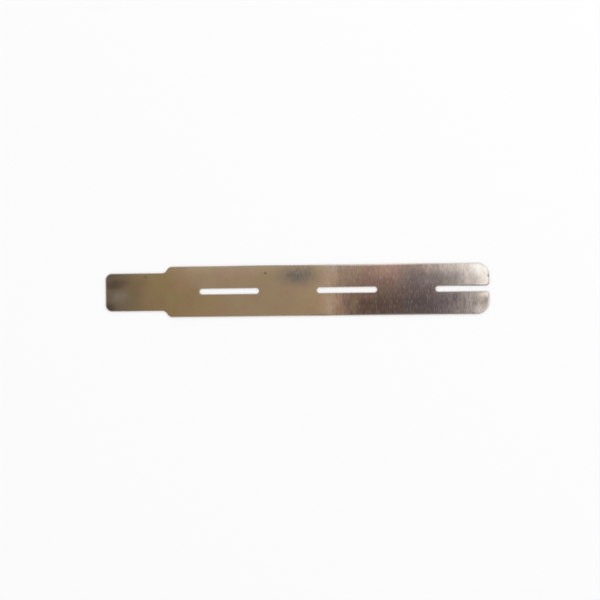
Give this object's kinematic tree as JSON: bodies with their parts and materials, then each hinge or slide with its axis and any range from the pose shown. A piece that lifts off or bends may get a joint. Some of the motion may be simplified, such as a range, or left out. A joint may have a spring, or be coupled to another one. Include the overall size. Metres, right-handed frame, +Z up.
{
  "type": "battery welding strip",
  "caption": "Thin flat nickel-plated strip with a narrow tab at one end, slots along its middle line and a forked other end, spot welded across battery cells in a row.",
  "frame": {"origin": "middle of the underside, where the strip lies on its cells", "axes": "+X along the strip towards the forked end, +Z up out of the sheet"},
  "size_m": [0.062, 0.008, 0.0002],
  "materials": {
    "nickel_plate": "satin nickel plating with a fine grain across the strip"
  },
  "bodies": {
    "root": {"welding_strip": "nickel_plate"}
  },
  "joints": []
}
